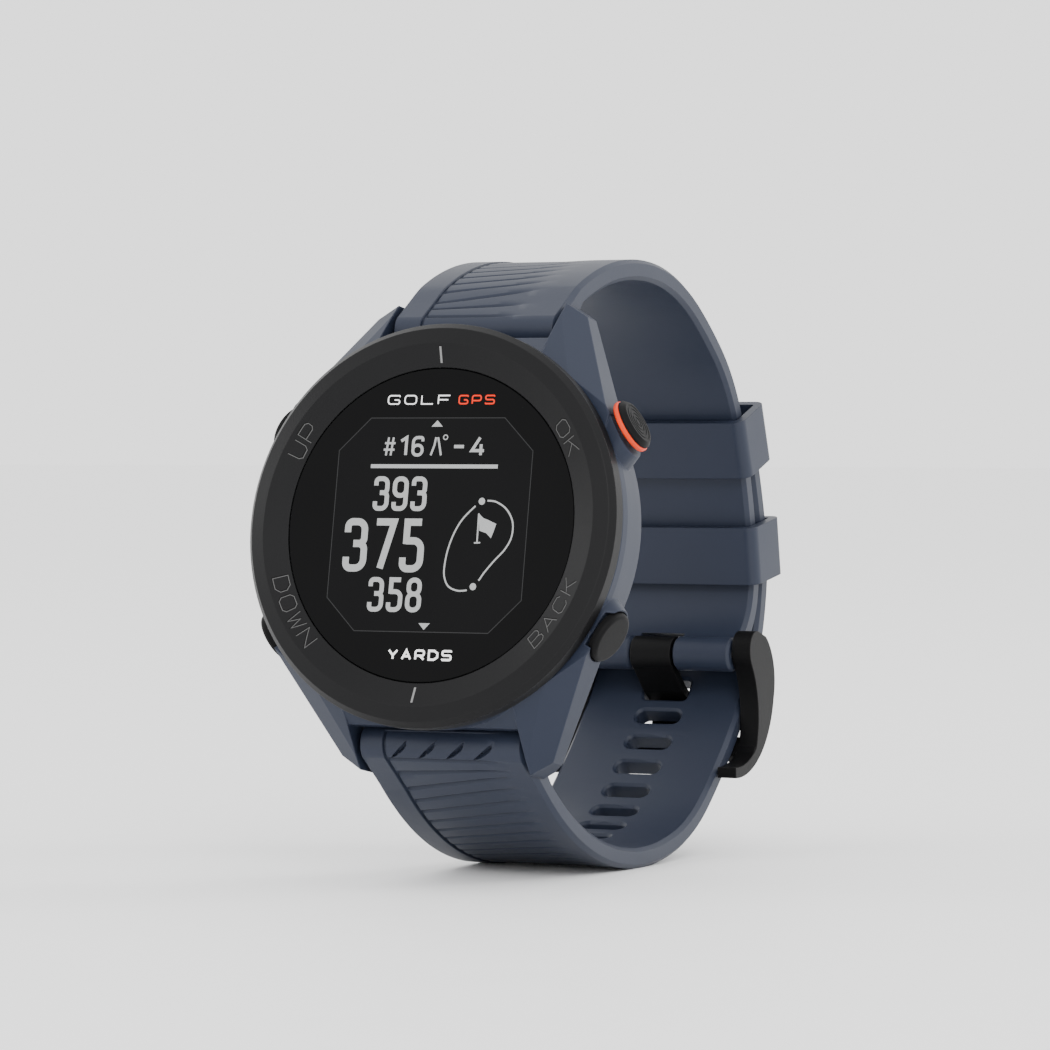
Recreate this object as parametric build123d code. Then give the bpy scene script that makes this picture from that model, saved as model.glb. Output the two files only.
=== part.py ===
from build123d import *
from math import cos, degrees, radians, sin
import os

# Golf GPS watch standing on its own buckled strap, in millimetres.
# The watch is modelled lying on its back: +Z out of the dial, +Y to 12 o'clock, +X to 3 o'clock.
# A depth is measured from the crest of the bezel down into the case, so depth d is at z = -d.
# The last step stands it up: the dial looks along -Y and leans back by LEAN.

LEAN = 10.2

# Case
CASE_DEPTH = 11.5
BEZEL_R = 21.85
CREST_R = 19.63
LENS_R = 17.0
LENS_TOP = 0.96
LENS_BACK = 2.05
CASE_TOP = 3.0
CASE_BACK = 10.3
CASE_R = 21.6
CAVITY_R = 18.9
SPIGOT_R = 19.9
SPIGOT_END = 4.3
SCREW_CIRCLE_R = 17.0
SCREW_ANGLES = (45, 135, 225, 315)
CONTACT_Y = -9.5
GAP = 0.05

# Lugs and strap roots
STRAP_WIDTH = 20.0
LUG_INNER = 10.2
BAR_UP = 22.65
BAR_DEPTH = 9.5
SIDE_ANGLE = 29.0
SIDE_DISTANCE = 22.8

# Buttons
BUTTONS = {"ok": 29.0, "up": 151.0, "down": 211.0, "back": 331.0}
GUARD_REACH = {"ok": 22.75, "up": 22.2, "down": 22.2, "back": 22.75}
BUTTON_DEPTH = 5.5
STEM_R = 1.0
STEM_END = 17.2

# Strap: each half is a chain of tangent arcs (radius, turn in degrees) in the (depth, up) plane
STRAP_T = 2.3
UPPER_HEADING = 78.4
UPPER_ARCS = ((6.0, 41.1), (37.0, 33.1), (27.9, 27.0), (59.5, 7.0), (22.6, 28.9), (72.0, 13.3), (9.0, 80.8))
LOWER_HEADING = 51.3
LOWER_ARCS = ((5.9, 12.5), (37.5, 62.9), (22.0, 24.1), (80.2, 8.8), (28.9, 42.6), (6.9, 12.9), (77.2, 10.2))
STRAP_HUB_R = 2.15
STRAP_BEVEL = 0.45
PIN_R = 0.8
HUB_R = 2.0
TONGUE_WIDTH = 5.1
TONGUE_T = 1.0
SLOT_START = 68.2
SLOT_PITCH = 4.1
SLOT_LENGTH = 5.6
SLOT_HEIGHT = 1.9
TONGUE_SLOT = 2.8
SLOTS = range(-6, 8)

# Keepers: distance along the upper half, and how far their opening reaches inward and outward of it
FIXED_AT = 59.0
FIXED_SPAN = (-1.5, 4.0)
SLIDING_AT = 72.25
SLIDING_SPAN = (-1.7, 4.45)

# Buckle, as (depth, up) positions
BUCKLE_INNER = 10.25
BUCKLE_OUTER = 13.0
BUCKLE_RIM = 0.45
BUCKLE_BAR = (64.6, -16.2)
BUCKLE_BAR_TILT = -34.5
TONGUE_PATH = ((60.4, -6.5), (64.5, -9.3), (66.75, -10.25), (67.65, -11.9), (67.7, -14.1), (66.1, -16.65),
               (64.7, -18.5))

# Spring bars
TUBE_R = 0.75
TIP_R = 0.5
TIP_END = 11.25

FROM_BASE = (Align.CENTER, Align.CENTER, Align.MIN)

parts = {}


def turned(*profile):
    """A solid of revolution about the case axis from (radius, depth) corners."""
    section = make_face(Polyline(*[(r, 0, -d) for r, d in profile], close=True))
    return revolve(section, Axis.Z)


def disc(radius, top, bottom, x=0.0, y=0.0):
    """A round plug along the case axis between two depths."""
    return Pos(x, y, -top) * Cylinder(radius, bottom - top, align=(Align.CENTER, Align.CENTER, Align.MAX))


def slab(width, height, top, bottom, x=0.0, y=0.0):
    """A rectangular block between two depths."""
    return Pos(x, y, -top) * Box(width, height, bottom - top, align=(Align.CENTER, Align.CENTER, Align.MAX))


def beyond(point, normal, size=60.0):
    """Everything on the outer side of a plane, as a block to cut away."""
    return Plane(origin=point, z_dir=normal) * Box(size, size, size, align=FROM_BASE)


def polar(radius, angle):
    return radius * cos(radians(angle)), radius * sin(radians(angle))


def four_ways(piece):
    """The piece and its mirror images in all four quadrants."""
    right = piece + mirror(piece, Plane.XZ)
    return right + mirror(right, Plane.YZ)


# ---------------------------------------------------------------- case

def bezel():
    ring = turned((17.05, LENS_TOP), (CREST_R, 0.0), (21.25, 0.45), (BEZEL_R, 1.15), (BEZEL_R, 2.7),
                  (21.6, CASE_TOP - 0.02), (SPIGOT_R, CASE_TOP - 0.02), (SPIGOT_R, SPIGOT_END),
                  (CAVITY_R, SPIGOT_END), (CAVITY_R, 2.9), (16.0, 2.9), (16.0, 2.25), (17.05, 2.25))
    for side in (1, -1):
        ring -= Pos(0, side * 18.36, -0.36) * Rot(side * 20.4, 0, 0) * Box(0.28, 1.85, 0.5)
    return ring


def lens():
    return turned((0, LENS_TOP), (LENS_R - 0.12, LENS_TOP), (LENS_R, LENS_TOP + 0.12), (LENS_R, LENS_BACK),
                  (0, LENS_BACK))


def octagon(half, corner):
    """A square of side 2 * half with its corners cut off by corner."""
    c = half - corner
    points = [(half, c), (c, half), (-c, half), (-half, c), (-half, -c), (-c, -half), (c, -half), (half, -c)]
    return make_face(Polyline(*points, close=True))


def plate(face, top, bottom):
    return Pos(0, 0, -bottom) * extrude(face, bottom - top)


def lug():
    """One strap lug: a blade along the flat flank of the case, bevelled in front and behind."""
    flank_n = (cos(radians(SIDE_ANGLE)), sin(radians(SIDE_ANGLE)))

    def on_flank(x):
        return x, (SIDE_DISTANCE - flank_n[0] * x) / flank_n[1]

    corners = (LUG_INNER, 8.0), (LUG_INNER, 25.6), on_flank(12.7), on_flank(19.2), (18.0, 8.0)
    outline = Polyline(*corners, close=True)
    blade = Pos(0, 0, -12.6) * extrude(make_face(outline), 12.6 - CASE_TOP)
    blade -= beyond((13.95, 16.6, -CASE_TOP), (0.385, 0.83, 1.0))
    blade -= beyond((12.3, 17.75, -CASE_TOP), (0.67, 0.97, 1.0))
    blade -= beyond((16.65, 17.0, -8.4), (0.605, -0.028, -0.795))
    return blade


def strap_seat():
    """Straight wall between two lugs, hollowed round the strap root."""
    block = slab(2 * LUG_INNER + 0.4, 9.1, 3.35, 9.2, y=16.55)
    block -= beyond((0, 19.9, -4.3), (0, 1, 1))
    return block + mirror(block, Plane.XZ)


def button_plane(angle):
    """Local frame of a button: z runs outward along its stem, y towards the dial."""
    c, s = cos(radians(angle)), sin(radians(angle))
    return Plane(origin=(0, 0, -BUTTON_DEPTH), x_dir=(-s, c, 0), z_dir=(c, s, 0))


def button_guard(angle, reach):
    """Rounded boss in the case wall that surrounds a button."""
    foot = Pos(0, -0.4, 19.6) * RectangleRounded(8.6, 5.7, 2.2)
    face = Pos(0, -0.1, reach) * RectangleRounded(6.4, 4.8, 2.2)
    return button_plane(angle) * loft([foot, face])


def mid_case():
    body = turned((0, CASE_TOP), (21.3, CASE_TOP), (CASE_R, 3.35), (CASE_R, 4.5), (21.05, 9.2),
                  (20.4, CASE_BACK), (0, CASE_BACK))
    body += four_ways(lug())
    body += strap_seat()
    for name, angle in BUTTONS.items():
        body += button_guard(angle, GUARD_REACH[name])
    body -= disc(20.1, CASE_BACK, 14.0)
    body -= disc(SPIGOT_R + GAP, 0.0, SPIGOT_END + GAP)
    body -= disc(CAVITY_R, 0.0, 14.0)
    for angle in SCREW_ANGLES:
        x, y = polar(SCREW_CIRCLE_R, angle)
        boss = disc(1.55, 6.3, 9.28, x, y) + disc(2.0, 6.3, 9.28, *polar(18.2, angle))
        body += boss & disc(19.5, 6.0, 9.28)
        body -= disc(0.8, 5.0, 9.5, x, y)
    for side in (1, -1):
        body -= Pos(0, side * BAR_UP, -BAR_DEPTH) * Rot(0, 90, 0) * Cylinder(STRAP_HUB_R + 0.3, 2 * LUG_INNER)
        body -= Pos(0, side * BAR_UP, -BAR_DEPTH) * Rot(0, 90, 0) * Cylinder(0.55, 23.4)
    for name, angle in BUTTONS.items():
        frame = button_plane(angle)
        body -= frame * Pos(0, 0, 20.0) * Cylinder(STEM_R + GAP, 10.0)
        if name != "ok":
            body -= frame * Pos(0, 0, 22.0) * Cylinder(3.05, 5.0, align=FROM_BASE)
    return body


def back_cover():
    cover = turned((0, 10.6), (15.0, 10.6), (15.0, 9.3), (18.7, 9.3), (18.7, 9.5), (18.15, 9.5), (18.15, 10.1),
                   (18.7, 10.1), (18.7, CASE_BACK), (19.9, CASE_BACK), (19.9, 10.7), (18.7, CASE_DEPTH),
                   (0, CASE_DEPTH))
    cover -= slab(7.7, 4.7, 10.0, 12.0, y=CONTACT_Y)
    for angle in SCREW_ANGLES:
        x, y = polar(SCREW_CIRCLE_R, angle)
        cover -= disc(0.9, 9.0, 12.0, x, y) + disc(1.4, 10.8, 12.0, x, y)
    return cover


def back_screws():
    """Four recessed cross-head screws, clear of their holes by a thread's depth."""
    screw = disc(1.3, 10.82, 11.4) + disc(0.75, 7.0, 10.82)
    screw -= slab(1.6, 0.3, 11.15, 12.0) + slab(0.3, 1.6, 11.15, 12.0)
    return Part() + [Pos(*polar(SCREW_CIRCLE_R, angle)) * screw for angle in SCREW_ANGLES]


def charging_contacts():
    return Part() + [disc(0.45, 10.66, CASE_DEPTH - 0.02, (i - 1.5) * 1.7, CONTACT_Y) for i in range(4)]


def contact_block():
    block = slab(7.6, 4.6, 10.66, 11.3, y=CONTACT_Y)
    for i in range(4):
        block -= disc(0.47, 10.0, 12.0, (i - 1.5) * 1.7, CONTACT_Y)
    return block


def arc_strip(inner, outer, top, bottom, start, sweep):
    """Part of a ring about the case axis, from angle start through sweep."""
    corners = [(inner, 0, -top), (outer, 0, -top), (outer, 0, -bottom), (inner, 0, -bottom)]
    section = make_face(Polyline(*corners, close=True))
    return Rot(0, 0, start) * revolve(section, Axis.Z, sweep)


def key_switches():
    """Side-acting tactile switches that the button stems press."""
    switch = Pos(0, 0, 16.2) * Box(3.4, 2.2, 0.6) + Pos(0, 0, 16.65) * Cylinder(0.7, 0.3)
    return Part() + [button_plane(angle) * switch for angle in BUTTONS.values()]


def build_case():
    parts["bezel"] = bezel()
    parts["lens"] = lens()
    parts["lens_seal"] = turned((16.1, LENS_BACK), (LENS_R, LENS_BACK), (LENS_R, 2.25), (16.1, 2.25))
    parts["display_module"] = plate(octagon(11.6, 3.5), LENS_BACK + 0.02, 3.55)
    frame = plate(octagon(12.4, 3.6), 3.6, 4.5) - plate(octagon(8.5, 2.0), 3.0, 3.9)
    frame -= slab(9.0, 0.8, 3.0, 5.0, y=-11.0)
    parts["display_frame"] = frame
    parts["display_flex"] = slab(8.0, 0.15, 3.57, 4.58, y=-11.0)
    parts["mid_case"] = mid_case()
    parts["case_seal"] = Pos(0, 0, -9.8) * Torus(18.5, 0.28)
    parts["back_cover"] = back_cover()
    parts["back_screws"] = back_screws()
    parts["contact_block"] = contact_block()
    parts["charging_contacts"] = charging_contacts()
    parts["main_board"] = disc(15.2, 4.6, 5.4)
    parts["shield_can"] = slab(14.0, 12.0, 5.42, 6.6, y=1.0)
    battery = extrude(RectangleRounded(21.0, 19.0, 2.5), 3.3)
    parts["battery"] = Pos(0, 0, -10.0) * battery
    parts["battery_pad"] = slab(12.0, 10.0, 10.05, 10.5, y=2.0)
    chassis = disc(15.4, 5.44, 9.25) - slab(14.4, 12.4, 5.0, 6.66, y=1.0) - slab(21.4, 19.4, 6.68, 9.3)
    parts["inner_chassis"] = chassis
    parts["gps_antenna"] = arc_strip(17.2, 18.3, 4.9, 6.4, 58, 64)
    parts["key_flex"] = arc_strip(15.55, 15.75, 4.5, 6.2, 140, 260)
    parts["key_switches"] = key_switches()


# ---------------------------------------------------------------- buttons

def button_cap(name):
    """The cap of one button, in the button's own frame."""
    if name == "ok":
        cap = Pos(0, 0, 23.86) * Cylinder(2.8, 0.69, align=FROM_BASE)
        cap = chamfer(cap.faces().sort_by(Axis.Z)[-1].edges(), 0.42)
        for radius in (0.5, 1.0, 1.5, 2.0):
            groove = Cylinder(radius + 0.13, 0.12) - Cylinder(radius - 0.13, 0.12)
            cap -= Pos(0, 0, 24.55) * groove
        return cap
    cap = Pos(0, 0, 22.4) * Cylinder(2.9, 0.95, align=FROM_BASE)
    return fillet(cap.faces().sort_by(Axis.Z)[-1].edges(), 0.5)


def button_stem(name):
    """Steel stem with a seal groove and a clip groove, in the button's own frame."""
    top = 23.86 if name == "ok" else 22.4
    stem = Pos(0, 0, STEM_END) * Cylinder(STEM_R, top - STEM_END, align=FROM_BASE)
    for start, end in ((20.2, 20.9), (18.3, 18.62)):
        groove = Cylinder(2.0, end - start, align=FROM_BASE)
        core = Cylinder(0.7, end - start, align=FROM_BASE)
        stem -= Pos(0, 0, start) * (groove - core)
    return stem


def button_clip():
    """Open retaining clip in the inner groove of the stem."""
    ring = Cylinder(1.6, 0.26) - Cylinder(0.72, 1.0)
    ring -= Pos(0, -1.2, 0) * Box(1.2, 2.4, 1.0)
    return Pos(0, 0, 18.46) * ring


def build_buttons():
    for name, angle in BUTTONS.items():
        frame = button_plane(angle)
        parts[f"{name}_button_cap"] = frame * button_cap(name)
        parts[f"{name}_button_stem"] = frame * button_stem(name)
        seal = Cylinder(STEM_R + 0.02, 0.6) - Cylinder(0.72, 1.0)
        parts[f"{name}_button_seal"] = frame * Pos(0, 0, 20.55) * seal
        parts[f"{name}_button_clip"] = frame * button_clip()
    ring = fillet(Cylinder(2.95, 0.58).edges(), 0.2) - Cylinder(STEM_R + 0.02, 2.0)
    parts["ok_accent_ring"] = button_plane(BUTTONS["ok"]) * Pos(0, 0, 23.55) * ring


# ---------------------------------------------------------------- strap

def strap_point(heading, arcs, distance):
    """(depth, up, heading) of a strap half's centreline at a distance from its spring bar."""
    depth, up = BAR_DEPTH, BAR_UP
    for radius, turn in arcs:
        step = min(turn, degrees(distance / radius))
        a, b = radians(heading), radians(heading - step)
        depth += radius * (sin(a) - sin(b))
        up += radius * (cos(b) - cos(a))
        heading -= step
        distance -= radius * radians(step)
        if distance < 1e-9:
            break
    return depth, up, heading


def strap_length(arcs):
    return sum(radius * radians(turn) for radius, turn in arcs)


def strap_plane(side, heading, arcs, distance):
    """Frame on the centreline: x across the strap, y outward from the wrist, z along the strap."""
    depth, up, angle = strap_point(heading, arcs, distance)
    c, s = cos(radians(angle)), sin(radians(angle))
    return Plane(origin=(0, side * up, -depth), x_dir=(-side, 0, 0), z_dir=(0, side * s, -c))


def stand_up(solid, side):
    """Turn a solid drawn in (depth, up, across) to the watch, for the upper or lower half."""
    return Plane(origin=(0, 0, 0), x_dir=(0, 0, -1), z_dir=(side, 0, 0)) * solid


def strap_band(side, heading, arcs):
    """The plain strap half, its long edges bevelled."""
    c, s = cos(radians(heading)), sin(radians(heading))

    def edge(offset):
        start, tangent = (BAR_DEPTH - s * offset, BAR_UP + c * offset), (c, s)
        chain = []
        for radius, turn in arcs:
            chain.append(JernArc(start, tangent, radius + offset, -turn))
            start, tangent = chain[-1] @ 1, chain[-1] % 1
        return chain

    outer, inner = edge(STRAP_T / 2), edge(-STRAP_T / 2)
    ends = [Line(outer[0] @ 0, inner[0] @ 0), Line(outer[-1] @ 1, inner[-1] @ 1)]
    solid = extrude(make_face(outer + inner + ends), STRAP_WIDTH / 2, both=True)
    long_edges = [e for e in solid.edges()
                  if abs(abs(e.center().Z) - STRAP_WIDTH / 2) < 0.01 and e.length > 2.5]
    solid = chamfer(long_edges, STRAP_BEVEL)
    c, s, angle = strap_point(heading, arcs, 6.0)
    thin = Pos(c, s) * Circle(STRAP_T / 2 - 0.01)
    hub = Pos(BAR_DEPTH, BAR_UP) * Circle(STRAP_HUB_R)
    solid += extrude(make_face(make_hull(hub.edges() + thin.edges())), STRAP_WIDTH / 2, both=True)
    return stand_up(solid, side)


def bar_cuts(side):
    """Spring bar hole, and the notch on the wrist side that shows the release knob."""
    hole = Pos(0, side * BAR_UP, -BAR_DEPTH) * Rot(0, 90, 0) * Cylinder(TUBE_R + GAP, 30)
    notch = Box(4.6, 1.4, 6.0, align=(Align.CENTER, Align.CENTER, Align.MAX))
    return hole + Pos(5.2, side * BAR_UP, -BAR_DEPTH) * notch


def at_pin(solid):
    """Place a solid of revolution about Z on the buckle pin's axis."""
    return Pos(0, PIN[1], -PIN[0]) * Rot(0, 90, 0) * solid


def upper_strap():
    body = strap_band(1, UPPER_HEADING, UPPER_ARCS)
    body += at_pin(Cylinder(HUB_R, 20.0))
    body -= at_pin(Cylinder(PIN_R + GAP, 30))
    body -= Pos(0, PIN[1] - 2.4, -63.0) * Box(TONGUE_WIDTH + 0.4, 9.9, 10.0)
    return body - bar_cuts(1)


def rounded_slot(length, height, corner, offset):
    """A slot outline across the strap, square to it at an offset from its centreline."""
    return Pos(0, offset, 0) * Rot(90, 0, 0) * RectangleRounded(length, height, corner)


def lower_strap():
    body = strap_band(-1, LOWER_HEADING, LOWER_ARCS) - bar_cuts(-1)
    for i in SLOTS:
        frame = strap_plane(-1, LOWER_HEADING, LOWER_ARCS, SLOT_START - i * SLOT_PITCH)
        height = TONGUE_SLOT if i == 0 else SLOT_HEIGHT
        corner = 0.6 if i == 0 else 0.9
        body -= frame * extrude(rounded_slot(SLOT_LENGTH, height, corner, 0), 2.0, both=True)
        for face in (1, -1):
            wide = rounded_slot(SLOT_LENGTH + 1.2, height + 1.1, corner + 0.4, face * 1.25)
            narrow = rounded_slot(SLOT_LENGTH, height, corner, face * 0.65)
            body -= frame * loft([wide, narrow])
    tail = strap_plane(-1, LOWER_HEADING, LOWER_ARCS, strap_length(LOWER_ARCS) - 4.0)
    cut = Pos(6, 0, 0) * Box(8, 8, 8, align=(Align.MIN, Align.CENTER, Align.MIN))
    cut -= Pos(6, 0, 0) * Rot(90, 0, 0) * Cylinder(4.0, 20)
    return body - tail * (cut + mirror(cut, Plane.YZ))


def keeper(at, span, length):
    """A rubber loop round both layers of strap, at a distance along the upper half."""
    frame = strap_plane(1, UPPER_HEADING, UPPER_ARCS, at)
    inner, outer = span
    low, high = inner - 1.0, outer + 1.05
    loop = Pos(0, (low + high) / 2, 0) * Box(22.4, high - low, length)
    loop = fillet(loop.edges().filter_by(Axis.Z), 1.3)
    opening = Pos(0, (inner + outer) / 2, 0) * Box(20.4, outer - inner, length + 2)
    return frame * (loop - fillet(opening.edges().filter_by(Axis.Z), 0.4))


def build_strap():
    parts["upper_strap"] = upper_strap()
    parts["lower_strap"] = lower_strap()
    parts["fixed_keeper"] = keeper(FIXED_AT, FIXED_SPAN, 6.9)
    parts["sliding_keeper"] = keeper(SLIDING_AT, SLIDING_SPAN, 6.8)


# ---------------------------------------------------------------- buckle

def buckle_frame():
    """One-piece buckle: two hooked legs from the pin to a flat bar that lies on the lower strap."""
    heel, back, toe = (59.95, -4.4), (67.95, -9.6), (58.6, -20.2)
    tip, crook, waist = (58.3, -19.0), (63.9, -16.1), (60.7, -6.6)
    outline = [
        ThreePointArc(heel, (60.6, -3.1), (62.2, -2.6)),
        Line((62.2, -2.6), (64.4, -2.9)),
        ThreePointArc((64.4, -2.9), (67.05, -5.4), back),
        ThreePointArc(back, (65.9, -15.9), toe),
        Line(toe, tip),
        ThreePointArc(tip, (61.7, -17.9), crook),
        ThreePointArc(crook, (63.6, -11.3), waist),
        ThreePointArc(waist, (60.1, -5.6), heel),
    ]
    legs = extrude(make_face(outline), BUCKLE_OUTER - BUCKLE_RIM, both=True)
    rim = extrude(Pos(0, 0, BUCKLE_OUTER - BUCKLE_RIM) * make_face(outline), BUCKLE_RIM, taper=45)
    legs += rim + mirror(rim, Plane.XY)
    legs -= Box(200, 200, 2 * BUCKLE_INNER)
    bar = extrude(Rectangle(1.5, 3.0), BUCKLE_OUTER - 0.6, both=True)
    bar = fillet(bar.edges().filter_by(Axis.Z), 0.4)
    frame = legs + Pos(*BUCKLE_BAR) * Rot(0, 0, BUCKLE_BAR_TILT) * bar
    frame -= Pos(*PIN) * Cylinder(PIN_R + GAP, 2 * (BUCKLE_OUTER - 0.6))
    return stand_up(frame, 1)


def buckle_tongue():
    """Flat tongue: a loop round the pin, through one slot, to rest on the outside of the bar."""
    outline = Sketch() + Pos(*PIN) * Circle(HUB_R)
    for a, b in zip(TONGUE_PATH, TONGUE_PATH[1:]):
        ends = (Pos(*a) * Circle(TONGUE_T / 2)).edges() + (Pos(*b) * Circle(TONGUE_T / 2)).edges()
        outline += make_face(make_hull(ends))
    outline -= Pos(*PIN) * Circle(PIN_R + GAP)
    tongue = extrude(outline, TONGUE_WIDTH / 2, both=True)
    return stand_up(tongue, 1)


def build_buckle():
    parts["buckle_pin"] = at_pin(Cylinder(PIN_R, 2 * (BUCKLE_OUTER - 0.7)))
    parts["buckle_frame"] = buckle_frame()
    parts["buckle_tongue"] = buckle_tongue()


# ---------------------------------------------------------------- spring bars

def rod(radius, start, end):
    """A round rod along X between two positions."""
    return Pos(start, 0, 0) * Rot(0, 90, 0) * Cylinder(radius, end - start, align=FROM_BASE)


def build_spring_bars():
    """Quick-release spring bars: tube, fixed tip, sprung tip with a knob, and its spring."""
    for name, side in (("upper", 1), ("lower", -1)):
        place = Pos(0, side * BAR_UP, -BAR_DEPTH)
        tube = rod(TUBE_R, -9.6, 9.6) - rod(TIP_R, -10, 10)
        tube -= Pos(5.2, 0, 0) * Box(3.2, 0.84, 2.0, align=(Align.CENTER, Align.CENTER, Align.MAX))
        fixed = rod(TIP_R, -9.6, -7.0) + rod(TIP_R, -TIP_END, -9.6)
        release = rod(TIP_R - 0.04, 4.2, TIP_END)
        knob = Pos(6.1, 0, 0) * Cylinder(0.38, 2.3, align=(Align.CENTER, Align.CENTER, Align.MAX))
        coil = Helix(0.7, 4.2, 0.33)
        wire = sweep(Plane(origin=coil @ 0, z_dir=coil % 0) * Circle(0.13), coil)
        parts[f"{name}_bar_tube"] = place * tube
        parts[f"{name}_bar_fixed_tip"] = place * fixed
        parts[f"{name}_bar_release"] = place * (release + knob)
        parts[f"{name}_bar_spring"] = place * Pos(-1.6, 0, 0) * Rot(0, 90, 0) * wire


# ---------------------------------------------------------------- stand and write

PIN = strap_point(UPPER_HEADING, UPPER_ARCS, strap_length(UPPER_ARCS))[:2]


def main():
    build_case()
    build_buttons()
    build_strap()
    build_buckle()
    build_spring_bars()
    tilt = Rot(90 - LEAN, 0, 0)
    standing = {name: tilt * part for name, part in parts.items()}
    boxes = [part.bounding_box() for part in standing.values()]
    low = [min(getattr(box.min, axis) for box in boxes) for axis in "XYZ"]
    high = [max(getattr(box.max, axis) for box in boxes) for axis in "XYZ"]
    place = Pos(-(low[0] + high[0]) / 2, -(low[1] + high[1]) / 2, -low[2])
    os.makedirs("parts", exist_ok=True)
    for name, part in standing.items():
        export_step(place * part, f"parts/{name}.step")


main()
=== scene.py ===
"""Looks of a golf GPS watch that stands on its own buckled strap.

Lengths are in millimetres in the watch's own frame: X to 3 o'clock, Y to 12 o'clock, Z out of the dial,
with zero at the crest of the bezel. place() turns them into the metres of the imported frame.
"""
import math

import bmesh
import bpy
from mathutils import Matrix, Vector


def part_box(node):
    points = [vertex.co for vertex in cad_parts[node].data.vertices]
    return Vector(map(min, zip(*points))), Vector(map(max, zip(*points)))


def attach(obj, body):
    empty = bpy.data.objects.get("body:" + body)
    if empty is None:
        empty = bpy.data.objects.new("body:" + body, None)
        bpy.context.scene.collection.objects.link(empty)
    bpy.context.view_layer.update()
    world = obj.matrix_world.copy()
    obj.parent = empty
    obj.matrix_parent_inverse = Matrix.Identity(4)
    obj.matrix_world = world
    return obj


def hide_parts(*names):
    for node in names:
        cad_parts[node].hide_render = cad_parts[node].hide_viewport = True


MM = 0.001
LEAN = 10.2

# Strap centrelines: heading at the spring bar, then tangent arcs (radius, turn) in the (depth, up) plane
BAR = (9.5, 22.65)
UPPER = (78.4, ((6.0, 41.1), (37.0, 33.1), (27.9, 27.0), (59.5, 7.0), (22.6, 28.9), (72.0, 13.3),
                (9.0, 80.8)))
LOWER = (51.3, ((5.9, 12.5), (37.5, 62.9), (22.0, 24.1), (80.2, 8.8), (28.9, 42.6), (6.9, 12.9),
                (77.2, 10.2)))
STRAP_HALF = 10.0
STRAP_T = 2.3
HUB_R = 2.15
PIN_HUB_R = 2.0
TONGUE_NOTCH = 2.75
ROOT_LENGTH = 6.0
BEVEL = 0.45
SLOT_START = 68.2
SLOT_PITCH = 4.1
SLOT_SIZE = (5.6, 1.9)
TONGUE_SLOT = 2.8
SLOTS = range(-6, 8)

# Bevelled band of the bezel that carries the button names
LENS_R, LENS_DEPTH = 17.05, 0.96
CREST_R = 19.63
LABEL_R = 18.3

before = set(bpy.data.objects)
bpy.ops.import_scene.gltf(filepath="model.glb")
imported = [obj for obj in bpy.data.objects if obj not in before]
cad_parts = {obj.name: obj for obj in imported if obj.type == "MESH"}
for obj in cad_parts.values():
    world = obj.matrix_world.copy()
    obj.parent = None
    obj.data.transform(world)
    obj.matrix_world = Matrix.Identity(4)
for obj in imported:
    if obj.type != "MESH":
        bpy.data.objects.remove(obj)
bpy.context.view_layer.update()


# ---------------------------------------------------------------- placing

def strap_point(half, distance):
    """(depth, up, heading in radians) of a strap half's centreline."""
    depth, up = BAR
    heading, arcs = half
    for radius, turn in arcs:
        step = min(turn, math.degrees(distance / radius))
        a, b = math.radians(heading), math.radians(heading - step)
        depth += radius * (math.sin(a) - math.sin(b))
        up += radius * (math.cos(b) - math.cos(a))
        heading -= step
        distance -= radius * math.radians(step)
        if distance < 1e-9:
            break
    return depth, up, math.radians(heading)


def strap_length(half):
    return sum(radius * math.radians(turn) for radius, turn in half[1])


def centre_of(node):
    low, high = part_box(node)
    return (low + high) / 2


TILT = Matrix.Rotation(math.radians(90 - LEAN), 4, "X")
PIN = strap_point(UPPER, strap_length(UPPER))
SHIFT = centre_of("buckle_pin") - (TILT @ Vector((0, PIN[1], -PIN[0]))) * MM
TO_WORLD = Matrix.Translation(SHIFT) @ TILT @ Matrix.Scale(MM, 4)


def place(x, y, z):
    return TO_WORLD @ Vector((x, y, z))


# ---------------------------------------------------------------- materials

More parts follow.
